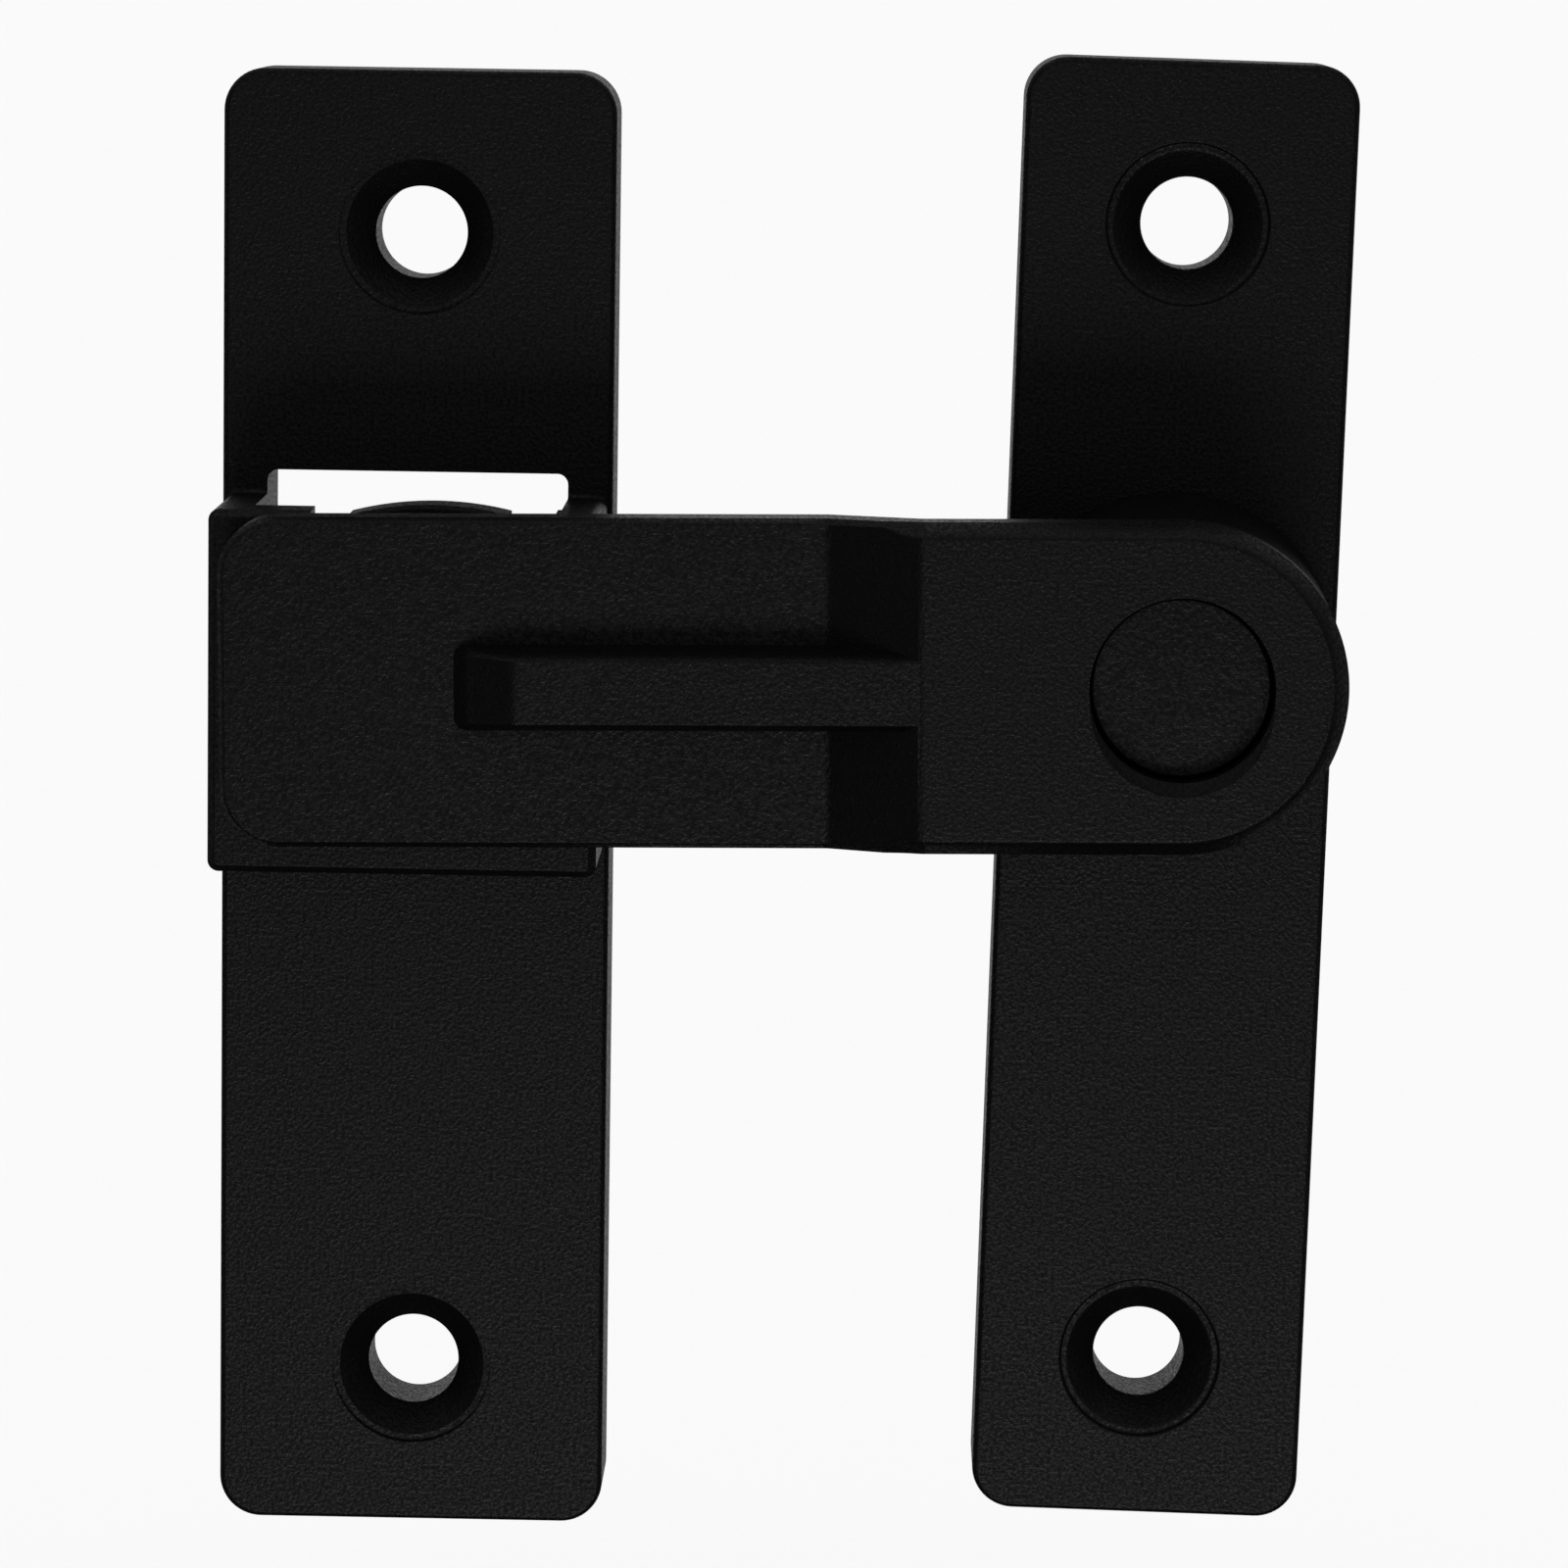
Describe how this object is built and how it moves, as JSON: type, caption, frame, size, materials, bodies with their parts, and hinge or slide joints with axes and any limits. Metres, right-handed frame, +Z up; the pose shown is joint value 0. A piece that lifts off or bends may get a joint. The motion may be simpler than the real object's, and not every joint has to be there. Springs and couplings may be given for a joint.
{
  "type": "gravity gate latch",
  "caption": "Surface-mounted gate latch: a pivoting arm on a plate drops by gravity so its hook sits in a boxed keeper plate.",
  "frame": {"origin": "centre of the pivot plate's back face", "axes": "+Z up as mounted, -Y out of the gate's face towards the viewer, the keeper on the -X side"},
  "size_m": [0.0614, 0.0214, 0.0816],
  "materials": {
    "black_powder_coat": "fine-texture matt black powder coat",
    "zinc_steel": "bright zinc plate",
    "spring_steel": "oiled spring steel",
    "acetal": "natural acetal, satin"
  },
  "bodies": {
    "base": {"keeper_plate": "black_powder_coat", "pivot_plate": "black_powder_coat", "pivot_spacer": "black_powder_coat", "pivot_pin": "black_powder_coat", "burr_washer": "zinc_steel", "thrust_washer": "acetal", "wave_washer": "spring_steel"},
    "arm": {"latch_arm": "black_powder_coat", "catch_hook": "black_powder_coat", "pivot_bush": "acetal"}
  },
  "joints": [
    {"name": "arm_pivot", "type": "hinge", "parent": "base", "child": "arm", "pos_m": [0.00015, 0, 0.00775], "axis": [0, 1, 0], "range_deg": [0, 270]}
  ]
}
